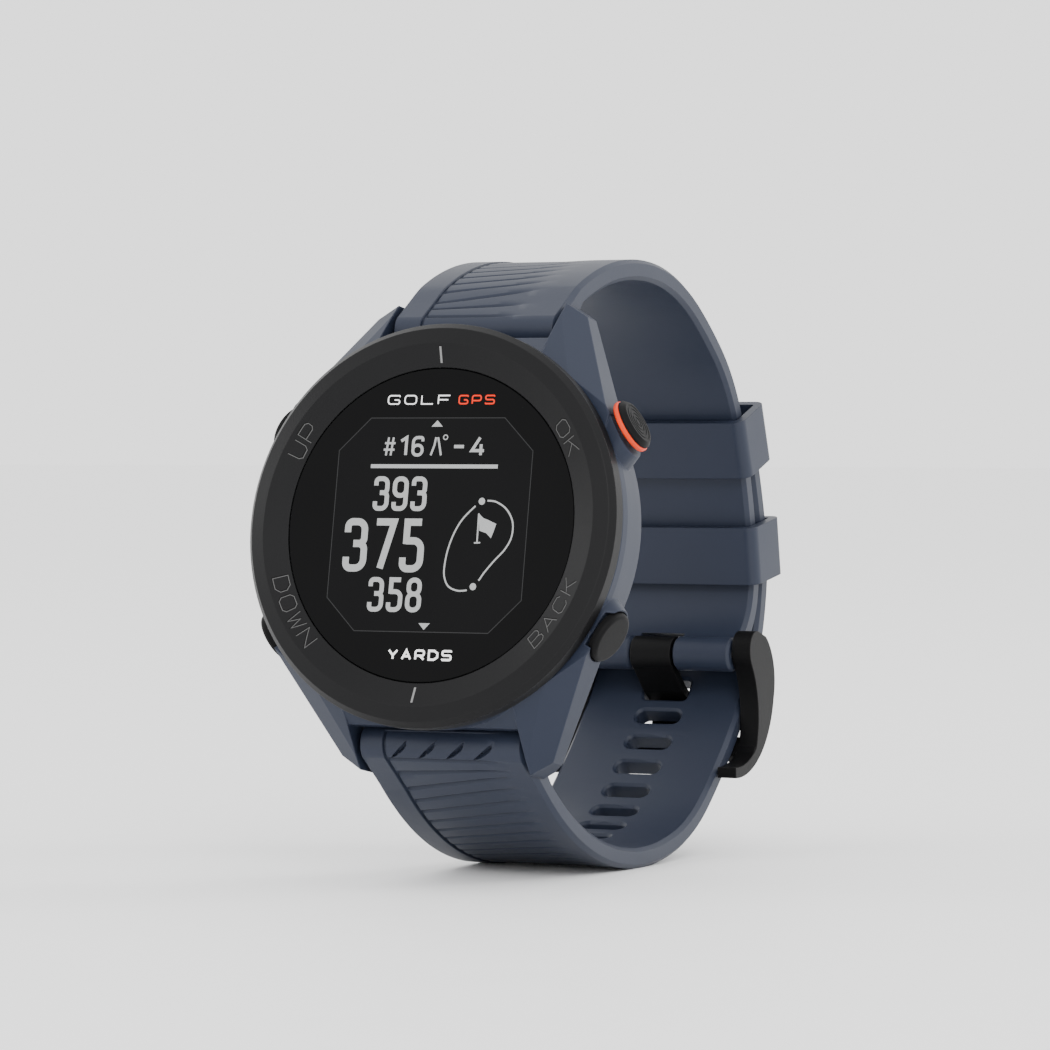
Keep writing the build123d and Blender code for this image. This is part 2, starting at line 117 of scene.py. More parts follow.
def material(name, colour, roughness, metallic=0.0, grain=0.0, grain_scale=2500.0, mottle=0.06, edge=0.0,
             specular=0.5, round_off=0.0):
    """A surface with fine bumps and slow colour and gloss variation; its edges may be softened and rubbed."""
    mat = bpy.data.materials.new(name)
    mat.use_nodes = True
    nodes, links = mat.node_tree.nodes, mat.node_tree.links
    shader = nodes["Principled BSDF"]
    shader.inputs["Metallic"].default_value = metallic
    shader.inputs["Specular IOR Level"].default_value = specular
    place_in = nodes.new("ShaderNodeTexCoord").outputs["Object"]

    cloud = nodes.new("ShaderNodeTexNoise")
    cloud.inputs["Scale"].default_value = 90.0
    cloud.inputs["Detail"].default_value = 4.0
    links.new(place_in, cloud.inputs["Vector"])

    tint = nodes.new("ShaderNodeMix")
    tint.data_type = "RGBA"
    tint.inputs["A"].default_value = (*[c * (1 - mottle) for c in colour], 1)
    tint.inputs["B"].default_value = (*[min(1, c * (1 + mottle)) for c in colour], 1)
    links.new(cloud.outputs["Fac"], tint.inputs["Factor"])
    colour_out = tint.outputs["Result"]
    normal = None
    if round_off:
        bevel = nodes.new("ShaderNodeBevel")
        bevel.inputs["Radius"].default_value = round_off * MM
        normal = bevel.outputs["Normal"]
    if edge:
        turn = nodes.new("ShaderNodeVectorMath")
        turn.operation = "DOT_PRODUCT"
        geometry = nodes.new("ShaderNodeNewGeometry")
        links.new(normal, turn.inputs[0])
        links.new(geometry.outputs["Normal"], turn.inputs[1])
        rub = nodes.new("ShaderNodeMapRange")
        rub.inputs["From Min"].default_value = 1.0
        rub.inputs["From Max"].default_value = 0.85
        rub.inputs["To Max"].default_value = edge
        links.new(turn.outputs["Value"], rub.inputs["Value"])
        worn = nodes.new("ShaderNodeMix")
        worn.data_type = "RGBA"
        worn.inputs["B"].default_value = (*[min(1, c * 2.2 + 0.02) for c in colour], 1)
        links.new(rub.outputs["Result"], worn.inputs["Factor"])
        links.new(colour_out, worn.inputs["A"])
        colour_out = worn.outputs["Result"]
    links.new(colour_out, shader.inputs["Base Color"])

    gloss = nodes.new("ShaderNodeMapRange")
    gloss.inputs["To Min"].default_value = max(0.02, roughness - 0.06)
    gloss.inputs["To Max"].default_value = roughness + 0.06
    links.new(cloud.outputs["Fac"], gloss.inputs["Value"])
    links.new(gloss.outputs["Result"], shader.inputs["Roughness"])

    if grain:
        dust = nodes.new("ShaderNodeTexNoise")
        dust.inputs["Scale"].default_value = grain_scale
        dust.inputs["Detail"].default_value = 6.0
        dust.inputs["Roughness"].default_value = 0.65
        links.new(place_in, dust.inputs["Vector"])
        bump = nodes.new("ShaderNodeBump")
        bump.inputs["Strength"].default_value = grain
        bump.inputs["Distance"].default_value = 0.00003
        links.new(dust.outputs["Fac"], bump.inputs["Height"])
        if normal:
            links.new(normal, bump.inputs["Normal"])
        normal = bump.outputs["Normal"]
    if normal:
        links.new(normal, shader.inputs["Normal"])
    return mat


def glow(name, colour, roughness=0.6):
    """Print behind the glass: a flat colour with a little light of its own."""
    mat = material(name, colour, roughness, mottle=0.03)
    shader = mat.node_tree.nodes["Principled BSDF"]
    shader.inputs["Emission Color"].default_value = (*colour, 1)
    shader.inputs["Emission Strength"].default_value = 0.25
    shader.inputs["Specular IOR Level"].default_value = 0.1
    return mat


SLATE = (0.0152, 0.0200, 0.0355)
MATERIALS = {
    "case": material("case_slate", SLATE, 0.46, grain=0.25, mottle=0.05, edge=0.3, specular=0.2,
                     round_off=0.22),
    "strap": material("strap_slate", SLATE, 0.46, grain=0.30, grain_scale=1800.0, mottle=0.08, specular=0.26,
                      round_off=0.15),
    "bezel": material("bezel_black", (0.0055, 0.0055, 0.006), 0.38, grain=0.4, grain_scale=3500.0,
                      mottle=0.14,
                      edge=0.2, specular=0.13, round_off=0.15),
    # Near-black label strokes: painted shade for the shadowed inside of the engraved button names; the
    # engraving itself is not modelled.
    "cut": material("label_painted_shade", (0.003, 0.003, 0.003), 0.6, mottle=0.1, specular=0.1),
    # Lighter grey of the label lips: painted highlight along the lit edge of each engraved stroke.
    "edge_highlight": material("label_edge_highlight", (0.055, 0.055, 0.055), 0.5, mottle=0.1),
    "tick": material("tick_grey", (0.16, 0.16, 0.16), 0.5, mottle=0.08),
    "glass": material("lens_glass", (0.0022, 0.0022, 0.0024), 0.09, mottle=0.2, specular=0.07),
    "panel": material("display_panel", (0.0034, 0.0034, 0.0037), 0.16, mottle=0.15, specular=0.07),
    "frame": material("display_border", (0.018, 0.018, 0.019), 0.4, mottle=0.1, specular=0.2),
    "white": glow("print_white", (0.78, 0.78, 0.78)),
    "grey": glow("print_grey", (0.27, 0.275, 0.275)),
    "red": glow("print_red", (0.60, 0.032, 0.012)),
    "button": material("button_black", (0.0035, 0.0035, 0.0038), 0.5, grain=0.6, mottle=0.18, edge=0.3,
                       specular=0.08,
                       round_off=0.12),
    "orange": material("accent_orange", (0.66, 0.040, 0.005), 0.38, grain=0.15, mottle=0.05, specular=0.2),
    "buckle": material("buckle_black", (0.0035, 0.0035, 0.0038), 0.46, grain=0.5, mottle=0.18, edge=0.3,
                       specular=0.1,
                       round_off=0.2),
    "steel": material("steel", (0.55, 0.55, 0.57), 0.28, metallic=1.0, grain=0.4, mottle=0.08),
    "gold": material("contact_gold", (0.85, 0.58, 0.22), 0.2, metallic=1.0, mottle=0.05),
    "inner": material("inner_black", (0.012, 0.012, 0.013), 0.55, grain=0.3, specular=0.3),
    "back": material("back_black", (0.010, 0.010, 0.011), 0.38, grain=0.4, mottle=0.12, edge=0.2,
                     specular=0.4,
                     round_off=0.2),
    "seal": material("seal_rubber", (0.012, 0.012, 0.012), 0.7, grain=0.4),
    "board": material("board_green", (0.01, 0.10, 0.035), 0.4, grain=0.2),
    "flex": material("flex_amber", (0.40, 0.17, 0.03), 0.3),
    "foil": material("battery_foil", (0.55, 0.56, 0.58), 0.35, metallic=0.8, grain=0.3),
}

NODE_MATERIALS = {
    "mid_case": "case", "back_cover": "back", "bezel": "bezel", "lens": "glass", "ok_accent_ring": "orange",
    "fixed_keeper": "strap", "sliding_keeper": "strap", "upper_strap": "strap", "lower_strap": "strap",
    "buckle_frame": "buckle", "buckle_tongue": "buckle", "buckle_pin": "steel", "charging_contacts": "gold",
    "contact_block": "inner", "inner_chassis": "inner", "display_frame": "inner", "display_module": "panel",
    "main_board": "board", "display_flex": "flex", "key_flex": "flex", "gps_antenna": "flex",
    "battery": "foil",
    "battery_pad": "seal", "lens_seal": "seal", "case_seal": "seal",
}


def dress_nodes():
    """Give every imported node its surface."""
    for name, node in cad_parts.items():
        key = NODE_MATERIALS.get(name)
        if key is None:
            key = "button" if name.endswith("_cap") else "seal" if name.endswith("_seal") else "steel"
        for slot in node.material_slots:
            slot.material = MATERIALS[key]


# ---------------------------------------------------------------- meshes

def add_mesh(name, points, faces, key, body, sharp=30.0):
    """A piece from points in watch millimetres."""
    mesh = bpy.data.meshes.new(name)
    mesh.from_pydata([place(*p) for p in points], [], faces)
    mesh.update()
    for polygon in mesh.polygons:
        polygon.use_smooth = True
    mesh.set_sharp_from_angle(angle=math.radians(sharp))
    mesh.materials.append(MATERIALS[key])
    piece = bpy.data.objects.new(name, mesh)
    bpy.context.scene.collection.objects.link(piece)
    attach(piece, body)
    return piece


def sweep_loops(loops, close_ends=True):
    """Points and faces of a tube through loops of equal length."""
    points = [p for loop in loops for p in loop]
    n = len(loops[0])
    faces = []
    for i in range(len(loops) - 1):
        for j in range(n):
            k = (j + 1) % n
            faces.append((i * n + j, i * n + k, (i + 1) * n + k, (i + 1) * n + j))
    if close_ends:
        faces.append(tuple(reversed(range(n))))
        faces.append(tuple(range((len(loops) - 1) * n, len(loops) * n)))
    return points, faces


# ---------------------------------------------------------------- strap

RIB_PITCH = 2.1
RIB_SLANT = math.tan(math.radians(12))
RIB_DEPTH = 0.5
FIELD_SINK = 0.12
RIB_PROFILE = {0.0: 0.0, 0.05: -0.9, 0.13: -1.0, 0.21: -0.5, 0.32: -0.12, 0.6: 0.0}


def ease(value, low, high):
    t = min(1.0, max(0.0, (value - low) / (high - low)))
    return t * t * (3 - 2 * t)


def strap_frame(half, distance):
    """Centre (depth, up), outward direction and half thickness at a distance; the root tapers straight."""
    if distance >= ROOT_LENGTH:
        depth, up, heading = strap_point(half, distance)
        return (depth, up), (-math.sin(heading), math.cos(heading)), STRAP_T / 2
    depth, up, heading = strap_point(half, ROOT_LENGTH)
    chord = math.atan2(up - BAR[1], depth - BAR[0])
    t = distance / ROOT_LENGTH
    turn = chord + (heading - chord) * ease(t, 0.55, 1.0)
    centre = (BAR[0] + (depth - BAR[0]) * t, BAR[1] + (up - BAR[1]) * t)
    return centre, (-math.sin(turn), math.cos(turn)), HUB_R + (STRAP_T / 2 - HUB_R) * t


def strap_rows(field):
    """Distances of the rows along a strap half: several to a rib in the field, under 1 mm apart elsewhere."""
    start, end, length = field
    rows = []
    d = 0.0
    while d < start:
        rows.append((d, None))
        d += min(0.6, start - d) if start - d > 1e-6 else 1
    count = int((end - start) / RIB_PITCH)
    for i in range(count):
        for phase in RIB_PROFILE:
            rows.append((start + (i + phase) * RIB_PITCH, phase))
    d = start + count * RIB_PITCH
    steps = int((length - d) / 0.7)
    rows += [(d + (length - d) * i / steps, None) for i in range(steps + 1)]
    return rows


def strap_piece(name, side, half, field_start, field_end, fade, node):
    """One strap half with bevelled edges, and slanted ribs that fade out to the right."""
    length = strap_length(half)
    left, right_start, right_end = fade
    xs = [-STRAP_HALF + BEVEL, -8.5, -7.4, left - 0.28, left - 0.2, left - 0.04, left + 0.06]
    steps = 14
    xs += [left + 0.06 + (right_end - left - 0.06) * (i + 1) / steps for i in range(steps)]
    xs += [x for x in (7.0, 8.2, 9.0) if x > right_end + 0.3] + [STRAP_HALF - BEVEL]
    inner_xs = [STRAP_HALF - BEVEL, 6.0, 2.0, -2.0, -6.0, -STRAP_HALF + BEVEL]
    loops = []
    for distance, phase in strap_rows((field_start, field_end, length)):
        weight = ease(distance, 0.5, 5.0) * (1 - ease(distance, field_end - 1.0, field_end + 9))

        def point(x, share, sink=0.0):
            along = min(length, max(0.0, distance + weight * side * RIB_SLANT * x))
            (depth, up), (nd, nu), half_t = strap_frame(half, along)
            out = share * half_t + sink
            return (x, side * (up + nu * out), -(depth + nd * out))

        section = []
        for x in xs:
            sink = 0.0
            fence = ease(distance, field_start - 0.6, field_start)
            fence *= 1 - ease(distance, field_end, field_end + 0.6)
            if left - 0.24 <= x <= left:
                sink = -0.34 * fence
            elif left < x <= right_end:
                amount = 1 - ease(x, right_start, right_end)
                ribbed = RIB_PROFILE[phase] * RIB_DEPTH if phase is not None else 0.0
                sink = (ribbed - FIELD_SINK * fence) * amount
            section.append(point(x, 1, sink))
        bevel = BEVEL / (STRAP_T / 2)
        section.append(point(STRAP_HALF, 1 - bevel))
        section.append(point(STRAP_HALF, -1 + bevel))
        section += [point(x, -1) for x in inner_xs]
        section.append(point(-STRAP_HALF, -1 + bevel))
        section.append(point(-STRAP_HALF, 1 - bevel))
        loops.append(section)
    loops = hub_rows(side, half, loops[0], len(xs)) + loops
    points, faces = sweep_loops(loops)
    if side > 0:
        faces = [tuple(reversed(f)) for f in faces]
    piece = add_mesh(name, points, faces, "strap", "case", sharp=28.0)
    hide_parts(node)
    return piece


def hub_rows(side, half, first, n_outer):
    """Rows that round the root off behind the spring bar."""
    rows = []
    for step in range(1, 7):
        phi = step * math.pi / 12
        row = []
        for x, y, z in first:
            d, u = -z - BAR[0], side * y - BAR[1]
            (_, _), (nd, nu), _ = strap_frame(half, 0.0)
            out = d * nd + u * nu
            back = (-nu, nd)
            c, s = math.cos(phi), math.sin(phi)
            row.append((x, side * (BAR[1] + nu * out * c + back[1] * abs(out) * s),
                        -(BAR[0] + nd * out * c + back[0] * abs(out) * s)))
        rows.append(row)
    rows.reverse()
    return rows


def rounded_rectangle(width, height, corner, steps=6):
    outline = []
    for cx, cy, start in ((1, 1, 0), (-1, 1, 90), (-1, -1, 180), (1, -1, 270)):
        for i in range(steps + 1):
            a = math.radians(start + 90 * i / steps)
            outline.append((cx * (width / 2 - corner) + corner * math.cos(a),
                            cy * (height / 2 - corner) + corner * math.sin(a)))
    return outline


def slot_cutter(index):
    """Closed solid of one slot: straight in the middle and flared at both faces."""
    distance = SLOT_START - index * SLOT_PITCH
    height = TONGUE_SLOT if index == 0 else SLOT_SIZE[1]
    depth, up, heading = strap_point(LOWER, distance)
    along = (math.cos(heading), math.sin(heading))
    out = (-math.sin(heading), math.cos(heading))
    loops = []
    for offset, grow in ((-1.6, 1.5), (-0.85, 0.0), (0.95, 0.0), (1.6, 0.9)):
        corner = (0.6 if index == 0 else 0.92) + grow * 0.4
        outline = rounded_rectangle(SLOT_SIZE[0] + grow * 0.95, height + grow * 0.9, corner)
        loops.append([(x, -(up + along[1] * v + out[1] * offset), -(depth + along[0] * v + out[0] * offset))
                      for x, v in outline])
    return sweep_loops(loops)


def start_notch(index):
    """One of the slanted notches that open the ribbed field beside the lugs."""
    x = -6.2 + index * 3.3
    reach = 2.5 + 0.15 * index
    loops = []
    for t, half, deep in ((0.0, 0.08, 0.3), (0.35, 0.42, 0.85), (0.75, 0.5, 1.3), (1.0, 0.1, 1.5)):
        distance = 0.1 - 2.0 * t
        (depth, up), (nd, nu), half_t = strap_frame(LOWER, distance)
        along = (nu, -nd)
        section = []
        for v, out in ((-half, 0.5), (half, 0.5), (half * 0.7, -deep), (-half * 0.2, -deep)):
            rise = half_t + out
            section.append((x + reach * t, -(up + nu * rise + along[1] * v),
                            -(depth + nd * rise + along[0] * v)))
        loops.append(section)
    return sweep_loops(loops)


def badge_recess():
    """A shallow blank oval low on the front of the lower half."""
    loops = []
    for offset, grow in ((-0.3, -0.35), (0.6, 0.2)):
        loop = []
        for x, v in rounded_rectangle(7.0 + grow, 3.2 + grow, 1.45):
            depth, up, heading = strap_point(LOWER, 35.5 + v)
            out = STRAP_T / 2 + offset
            loop.append((x + 0.6, -(up + math.cos(heading) * out), -(depth - math.sin(heading) * out)))
        loops.append(loop)
    return sweep_loops(loops)


def tongue_notch():
    """The gap in the end of the upper half that the tongue's loop sits in."""
    half = TONGUE_NOTCH
    low, high = PIN[1] - 7.0, PIN[1] + 2.55
    corners = [(-half, low), (half, low), (half, high), (-half, high)]
    return sweep_loops([[(x, y, -depth) for x, y in corners] for depth in (57.0, 69.0)])


def carve(piece, solids):
    """Cut closed solids, given as (points, faces), out of a strap half."""
    points, faces = [], []
    for some_points, some_faces in solids:
        faces += [tuple(i + len(points) for i in face) for face in some_faces]
        points += some_points
    mesh = bpy.data.meshes.new("cutter")
    mesh.from_pydata([place(*p) for p in points], [], faces)
    tidy = bmesh.new()
    tidy.from_mesh(mesh)
    bmesh.ops.recalc_face_normals(tidy, faces=tidy.faces)
    tidy.to_mesh(mesh)
    tidy.free()
    cutter = bpy.data.objects.new("cutter", mesh)
    bpy.context.scene.collection.objects.link(cutter)
    cut = piece.modifiers.new("cut", "BOOLEAN")
    cut.operation = "DIFFERENCE"
    cut.solver = "MANIFOLD"
    cut.object = cutter
    shaped = bpy.data.meshes.new_from_object(piece.evaluated_get(bpy.context.evaluated_depsgraph_get()))
    piece.modifiers.clear()
    piece.data = shaped
    bpy.data.objects.remove(cutter)
    for polygon in shaped.polygons:
        polygon.use_smooth = True
    shaped.set_sharp_from_angle(angle=math.radians(28))


def pin_hub():
    """The two rubber knuckles of the upper half that hold the buckle pin."""
    for side in (-1, 1):
        ends = sorted((side * (TONGUE_NOTCH + 0.02), side * 10.0))
        soft = 0.3
        loops = []
        for x, radius in ((ends[0], 0.87), (ends[0], PIN_HUB_R - soft), (ends[0] + soft, PIN_HUB_R),
                          (ends[1] - soft, PIN_HUB_R), (ends[1], PIN_HUB_R - soft), (ends[1], 0.87)):
            loops.append([(x, PIN[1] + radius * math.sin(a), -(PIN[0] + radius * math.cos(a)))
                          for a in (2 * math.pi * i / 48 for i in range(48))])
        points, faces = sweep_loops(loops + loops[:1], close_ends=False)
        name = "pin_hub_left" if side < 0 else "pin_hub_right"
        add_mesh(name, points, faces, "strap", "case", sharp=35)


# ---------------------------------------------------------------- dial

PRINT_LIFT = 0.03


def ribbon(name, path, width, key, closed=False, height=-LENS_DEPTH + PRINT_LIFT):
    """A flat mitred line along a path; its height is a number or a function of (x, y)."""
    n = len(path)
    points, faces = [], []
    for i in range(n):
        here = Vector(path[i])
        before = here - Vector(path[i - 1]) if closed or i > 0 else None
        after = Vector(path[(i + 1) % n]) - here if closed or i < n - 1 else None
        before = (before or after).normalized()
        after = (after or before).normalized()
        middle = (before + after).normalized()
        side = Vector((-middle.y, middle.x)) * width / 2 / max(0.45, middle.dot(after))
        for p in (here + side, here - side):
            points.append((p.x, p.y, height(p.x, p.y) if callable(height) else height))
    for i in range(n if closed else n - 1):
        j = (i + 1) % n
        faces.append((2 * i, 2 * i + 1, 2 * j + 1, 2 * j))
    return add_mesh(name, points, faces, key, "case")


def disc(name, centre, radius, key, lift=PRINT_LIFT, sides=48):
    turns = [2 * math.pi * i / sides for i in range(sides)]
    points = [(centre[0] + radius * math.cos(a), centre[1] + radius * math.sin(a), -LENS_DEPTH + lift)
              for a in turns]
    return add_mesh(name, points, [tuple(range(sides))], key, "case")


def polygon(name, outline, key, lift=PRINT_LIFT):
    points = [(x, y, -LENS_DEPTH + lift) for x, y in outline]
    return add_mesh(name, points, [tuple(range(len(points)))], key, "case")


# Strokes of each sign in a unit box; a stroke is (closed, corner radius as a share of the width, points).
BOWL = ((0, 0.24), (0, 0), (1, 0))
SIGNS = {
    "0": ((True, 0.45, ((0, 0), (1, 0), (1, 1), (0, 1))),),
    "1": ((False, 0, ((0.15, 0.80), (0.72, 1), (0.72, 0))),),
    "3": ((False, 0.45, (*BOWL, (1, 0.53), (0.36, 0.53))),
          (False, 0.42, ((0.40, 0.53), (0.97, 0.53), (0.97, 1), (0, 1), (0, 0.77)))),
    "4": ((False, 0, ((1, 0.26), (0, 0.26), (0.62, 1))), (False, 0, ((0.74, 0.62), (0.74, 0)))),
    "5": ((False, 0.45, (*BOWL, (1, 0.60), (0.12, 0.60))), (False, 0, ((0.14, 0.53), (0.14, 1), (0.95, 1)))),
    "6": ((True, 0.45, ((0, 0), (1, 0), (1, 0.56), (0, 0.56))),
          (False, 0.45, ((0, 0.4), (0, 1), (1, 1), (1, 0.78)))),
    "7": ((False, 0, ((0, 1), (1, 1), (0.36, 0))),),
    "8": ((True, 0.45, ((0, 0), (1, 0), (1, 0.53), (0, 0.53))),
          (True, 0.43, ((0.04, 0.53), (0.96, 0.53), (0.96, 1), (0.04, 1)))),
    "9": ((True, 0.45, ((0, 0.44), (1, 0.44), (1, 1), (0, 1))),
          (False, 0.45, ((1, 0.6), (1, 0), (0, 0), (0, 0.22)))),
    "#": ((False, 0, ((0.22, 0), (0.38, 1))),
          (False, 0, ((0.64, 0), (0.80, 1))), (False, 0, ((0, 0.32), (0.95, 0.32))),
          (False, 0, ((0.07, 0.68), (1, 0.68)))),
    "G": ((False, 0.24, ((1, 0.84), (1, 1), (0, 1), (0, 0), (1, 0), (1, 0.48), (0.55, 0.48))),),
    "O": ((True, 0.24, ((0, 0), (1, 0), (1, 1), (0, 1))),),
    "L": ((False, 0, ((0, 1), (0, 0), (1, 0))),),
    "F": ((False, 0, ((0, 0), (0, 1), (1, 1))), (False, 0, ((0.05, 0.5), (0.85, 0.5)))),
    "P": ((False, 0.22, ((0, 0), (0, 1), (1, 1), (1, 0.38), (0.05, 0.38))),),
    "S": ((False, 0.2, ((1, 0.86), (1, 1), (0, 1), (0, 0.5), (1, 0.5), (1, 0), (0, 0), (0, 0.14))),),
    "Y": ((False, 0, ((0, 1), (0.5, 0.42), (1, 1))), (False, 0, ((0.5, 0.45), (0.5, 0)))),
    "A": ((False, 0, ((0, 0), (0.5, 1), (1, 0))), (False, 0, ((0.2, 0.33), (0.8, 0.33)))),
    "R": ((False, 0.22, ((0, 0), (0, 1), (1, 1), (1, 0.42), (0.05, 0.42))),
          (False, 0, ((0.5, 0.42), (1, 0)))),
    "D": ((True, 0, ((0, 0), (0.62, 0), (1, 0.27), (1, 0.73), (0.62, 1), (0, 1))),),
}


def rounded_path(corners, radius, closed):
    """The corners joined by straight lines, each turn eased by an arc-like curve of the given radius."""
    if not radius:
        return list(corners)
    n = len(corners)
    path = []
    for i in range(n):
        here = Vector(corners[i])
        if not closed and i in (0, n - 1):
            path.append(tuple(here))
            continue
        back = Vector(corners[i - 1]) - here
        ahead = Vector(corners[(i + 1) % n]) - here
        if not back.length or not ahead.length:
            continue
        r = min(radius, back.length * 0.499, ahead.length * 0.499)
        a, b = here + back.normalized() * r, here + ahead.normalized() * r
        for step in range(9):
            t = step * math.pi / 16
            path.append(tuple(here + (a - here) * (1 - math.sin(t)) + (b - here) * (1 - math.cos(t))))
    return path


def lettering(name, text, box, key, stroke, gap):
    """Signs drawn as strokes of one width inside a box (left, right, bottom, top) on the dial."""
    left, right, bottom, top = box
    width = (right - left - (len(text) - 1) * gap) / len(text)
    for i, sign in enumerate(text):
        x0, y0 = left + i * (width + gap) + stroke / 2, bottom + stroke / 2
        w, h = width - stroke, top - bottom - stroke
        for k, (closed, corner, points) in enumerate(SIGNS[sign]):
            corners = [(x0 + u * w, y0 + v * h) for u, v in points]
            path = rounded_path(corners, corner * w, closed)
            ribbon(f"{name}_{i}_{k}", path, stroke, key, closed, -LENS_DEPTH + PRINT_LIFT + 0.003 * k)


def smooth(corners, steps=8):
    """An open Catmull-Rom curve through a few corners."""
    path = []
    n = len(corners)
    for i in range(n - 1):
        p0, p1, p2, p3 = (Vector(corners[min(n - 1, max(0, i + k - 1))]) for k in range(4))
        for j in range(steps):
            t = j / steps
            path.append(tuple(0.5 * (2 * p1 + (p2 - p0) * t + (2 * p0 - 5 * p1 + 4 * p2 - p3) * t * t
                                     + (3 * p1 - p0 - 3 * p2 + p3) * t ** 3)))
    return path + [tuple(corners[-1])]


def dial():
    """Display panel and everything shown on it."""
    c = 8.0
    panel = [(11.6, c), (c, 11.55), (-c, 11.55), (-11.6, c), (-11.6, -c), (-c, -11.55), (c, -11.55),
             (11.6, -c)]
    polygon("dial_panel", list(reversed(panel)), "panel", lift=0.012)
    ribbon("dial_panel_edge", panel, 0.09, "frame", closed=True, height=-LENS_DEPTH + 0.018)
    lettering("dial_title", "GOLF", (-6.2, 1.35, 13.0, 14.05), "white", 0.14, 0.5)
    lettering("dial_title_end", "GPS", (2.3, 6.65, 13.0, 14.05), "red", 0.17, 0.38)
    lettering("dial_unit", "YARDS", (-3.7, 3.95, -14.6, -13.42), "white", 0.24, 0.36)
    lettering("dial_hole_sign", "#", (-6.32, -4.72, 7.35, 9.55), "grey", 0.24, 0)
    lettering("dial_hole", "16", (-4.5, -1.4, 7.35, 9.59), "grey", 0.34, 0.18)
    lettering("dial_par_count", "4", (4.2, 5.98, 7.35, 9.59), "grey", 0.34, 0)
    ribbon("dial_par_dash", [(2.22, 8.45), (3.4, 8.45)], 0.36, "grey")
    ribbon("dial_par_left", [(-0.01, 9.45), (-0.13, 8.62), (-0.5, 7.5)], 0.24, "grey")
    ribbon("dial_par_right", [(0.23, 9.45), (0.45, 8.62), (0.72, 7.5)], 0.24, "grey")
    ring = [(1.12 + 0.25 * math.cos(a * math.pi / 8), 9.45 + 0.25 * math.sin(a * math.pi / 8))
            for a in range(16)]
    ribbon("dial_par_ring", ring, 0.12, "grey", closed=True)
    ribbon("dial_bar", [(-7.6, 6.3), (7.6, 6.3)], 0.42, "grey")
    lettering("dial_back", "393", (-7.0, -0.56, 1.45, 5.2), "grey", 0.52, 0.36)
    lettering("dial_centre", "375", (-10.1, -0.38, -5.17, 0.64), "grey", 0.78, 0.54)
    lettering("dial_front", "358", (-6.68, -0.22, -9.46, -5.72), "grey", 0.52, 0.36)
    polygon("dial_up", [(-0.68, 10.6), (0.68, 10.6), (0.0, 11.3)], "grey")
    polygon("dial_down", [(0.36, -11.32), (1.04, -10.6), (-0.32, -10.6)], "grey")
    east = [(6.71, 2.63), (7.75, 2.5), (9.0, 1.75), (9.85, 0.4), (9.88, -1.2), (9.21, -2.56), (8.14, -3.71),
            (7.07, -4.97), (6.4, -5.95)]
    west = [(5.34, 2.05), (4.0, 0.71), (3.13, -0.73), (2.5, -2.53), (2.23, -4.32), (2.3, -5.57), (2.87, -6.6),
            (3.98, -7.05), (5.1, -7.0)]
    ribbon("dial_green_east", smooth(east), 0.19, "grey")
    ribbon("dial_green_west", smooth(west), 0.19, "grey")
    disc("dial_green_back", (6.05, 2.56), 0.38, "grey")
    disc("dial_green_front", (5.79, -6.6), 0.38, "grey")
    flag = [(5.81, 1.25), (6.4, 0.75), (6.97, 0.56), (7.96, 0.14), (7.71, -0.69), (7.46, -1.4),
            (6.85, -0.85), (6.02, -0.6)]
    polygon("dial_flag", list(reversed(flag)), "grey")
    ribbon("dial_flag_pole", [(5.81, 1.25), (5.86, -1.85)], 0.18, "grey",
           height=-LENS_DEPTH + PRINT_LIFT + 0.003)
    ribbon("dial_flag_foot", [(5.5, -1.92), (6.24, -1.88)], 0.16, "grey")


# ---------------------------------------------------------------- bezel labels

LETTERS = {
    "U": (((0, 1), (0, 0.22), (0.18, 0), (0.82, 0), (1, 0.22), (1, 1)),),
    "P": (((0, 0), (0, 1), (0.8, 1), (1, 0.85), (1, 0.55), (0.8, 0.4), (0, 0.4)),),
    "D": (((0, 0), (0, 1), (0.7, 1), (1, 0.72), (1, 0.28), (0.7, 0), (0, 0)),),
    "O": (((0.2, 0), (0, 0.2), (0, 0.8), (0.2, 1), (0.8, 1), (1, 0.8), (1, 0.2), (0.8, 0), (0.2, 0)),),
    "W": (((0, 1), (0.25, 0), (0.5, 0.8), (0.75, 0), (1, 1)),),
    "N": (((0, 0), (0, 1), (1, 0), (1, 1)),),
    "K": (((0, 0), (0, 1)), ((1, 1), (0.05, 0.45)), ((0.35, 0.62), (1, 0))),
    "B": (((0, 0), (0, 1), (0.75, 1), (0.92, 0.85), (0.92, 0.65), (0.75, 0.52), (0, 0.52)),
          ((0.75, 0.52), (1, 0.38), (1, 0.15), (0.8, 0), (0, 0))),
    "A": (((0, 0), (0.5, 1), (1, 0)), ((0.2, 0.36), (0.8, 0.36))),
    "C": (((1, 0.8), (0.8, 1), (0.2, 1), (0, 0.8), (0, 0.2), (0.2, 0), (0.8, 0), (1, 0.2)),),
}
# Middle of each word round the bezel, its letter height and width; words below the middle read outward
WORDS = {"UP": (150.6, 1.6, 1.6), "DOWN": (212.0, 1.6, 1.65), "OK": (31.0, 1.6, 1.6),
         "BACK": (329.3, 1.6, 1.55)}


def on_cone(lift):
    """Height of a point just above the sloping band of the bezel."""
    def height(x, y):
        return -LENS_DEPTH + (math.hypot(x, y) - LENS_R) * LENS_DEPTH / (CREST_R - LENS_R) + lift
    return height


